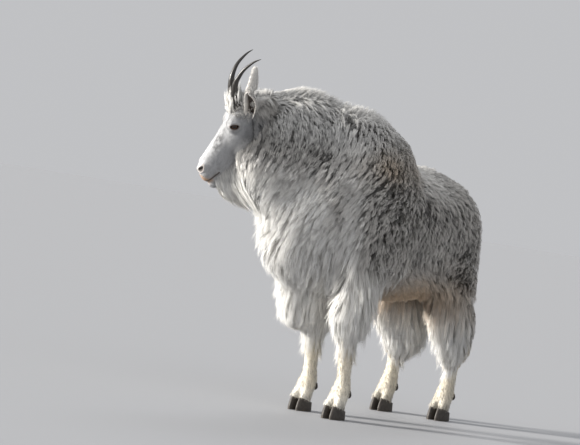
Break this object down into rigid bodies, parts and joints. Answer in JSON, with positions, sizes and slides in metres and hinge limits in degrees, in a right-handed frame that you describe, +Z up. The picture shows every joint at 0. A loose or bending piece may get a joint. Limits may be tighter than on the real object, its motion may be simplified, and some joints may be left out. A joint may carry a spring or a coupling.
{
  "type": "mountain goat",
  "caption": "Standing mountain goat with a thick pale coat, shaggy chest and leg hair, beard, dark curved horns and cloven hooves, head turned to one side; a still, life-size animal figure.",
  "frame": {"origin": "centre of the bounding box seen from above, on the floor plane that the hooves stand on", "axes": "+Z up; the body runs along Y with the chest towards -Y and the rump towards +Y; the animal's left side is +X; the head is turned towards the animal's right (-X, -Y)"},
  "size_m": [0.517, 1.1122, 1.101],
  "materials": {
    "coat": "matte, long pale hair",
    "horn": "smooth dark horn, satin",
    "hoof": "dark hoof horn, matte",
    "eye": "dark glossy eye with a brown iris"
  },
  "bodies": {
    "root": {"trunk": "coat", "neck": "coat", "head": "coat", "tail": "coat", "leg_fl": "coat", "leg_fr": "coat", "leg_hl": "coat", "leg_hr": "coat", "ear_l": "coat", "ear_r": "coat", "eye_l": "eye", "eye_r": "eye", "horn_l": "horn", "horn_r": "horn", "hoof_fl_outer": "hoof", "hoof_fl_inner": "hoof", "hoof_fr_outer": "hoof", "hoof_fr_inner": "hoof", "hoof_hl_outer": "hoof", "hoof_hl_inner": "hoof", "hoof_hr_outer": "hoof", "hoof_hr_inner": "hoof", "dewclaw_fl_outer": "hoof", "dewclaw_fl_inner": "hoof", "dewclaw_fr_outer": "hoof", "dewclaw_fr_inner": "hoof", "dewclaw_hl_outer": "hoof", "dewclaw_hl_inner": "hoof", "dewclaw_hr_outer": "hoof", "dewclaw_hr_inner": "hoof"}
  },
  "joints": []
}
